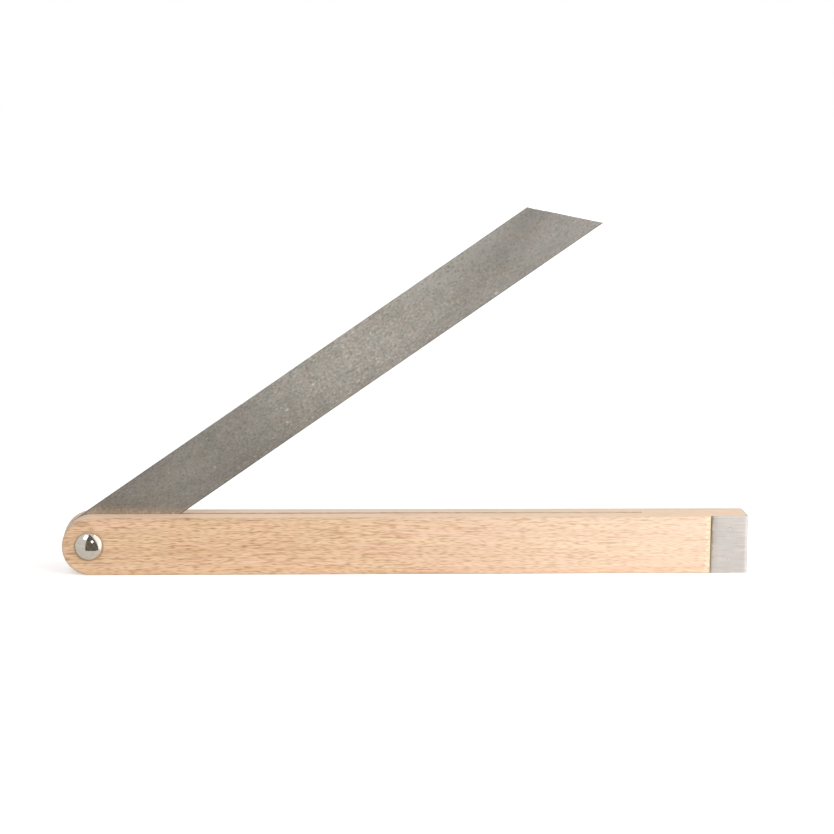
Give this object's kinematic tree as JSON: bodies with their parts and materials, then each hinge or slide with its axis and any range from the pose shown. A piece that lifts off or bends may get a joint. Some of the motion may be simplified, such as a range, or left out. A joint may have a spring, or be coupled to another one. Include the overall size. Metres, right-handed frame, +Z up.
{
  "type": "bevel gauge",
  "caption": "Carpenter's bevel gauge: a steel blade with a slanted tip pivots in a slotted beech stock with a steel end cap, clamped by a wing nut on a cup-head bolt.",
  "frame": {"origin": "on the surface that the bevel stands on, under the middle of its outline, with the blade open as pictured", "axes": "+X along the stock from the pivot to the steel cap, +Y from the bolt's domed head to the wing nut, +Z up from the stock's lower edge to the edge that the blade leaves by"},
  "size_m": [0.3284, 0.0378, 0.1751],
  "materials": {
    "beech": "planed and sanded, unvarnished",
    "cap_steel": "fine lengthwise grinding",
    "pin_steel": "ground flush with the cap",
    "polished_steel": "polished",
    "blade_steel": "satin, mottled spring steel",
    "zinc_plate": "bright zinc plate"
  },
  "bodies": {
    "stock": {"stock": "beech", "end_cap": "cap_steel", "cap_pin_upper": "pin_steel", "cap_pin_lower": "pin_steel", "pivot_bolt": "polished_steel"},
    "blade": {"blade": "blade_steel"},
    "washer": {"washer": "zinc_plate"},
    "wing_nut": {"wing_nut": "zinc_plate"}
  },
  "joints": [
    {"name": "blade_swing", "type": "hinge", "parent": "stock", "child": "blade", "pos_m": [-0.15133, -0.00532, 0.01395], "axis": [0, -1, 0], "range_deg": [-29, 325]},
    {"name": "washer_slide", "type": "slide", "parent": "stock", "child": "washer", "axis": [0, 1, 0], "range_m": [0, 0.0022]},
    {"name": "wing_nut_turn", "type": "hinge", "parent": "washer", "child": "wing_nut", "pos_m": [-0.15133, 0.0125, 0.01395], "axis": [0, 1, 0], "range_deg": [0, 990]}
  ],
  "couplings": [
    {"joint": "washer_slide", "follows": "wing_nut_turn", "m_per_rad": 0.00012732}
  ]
}
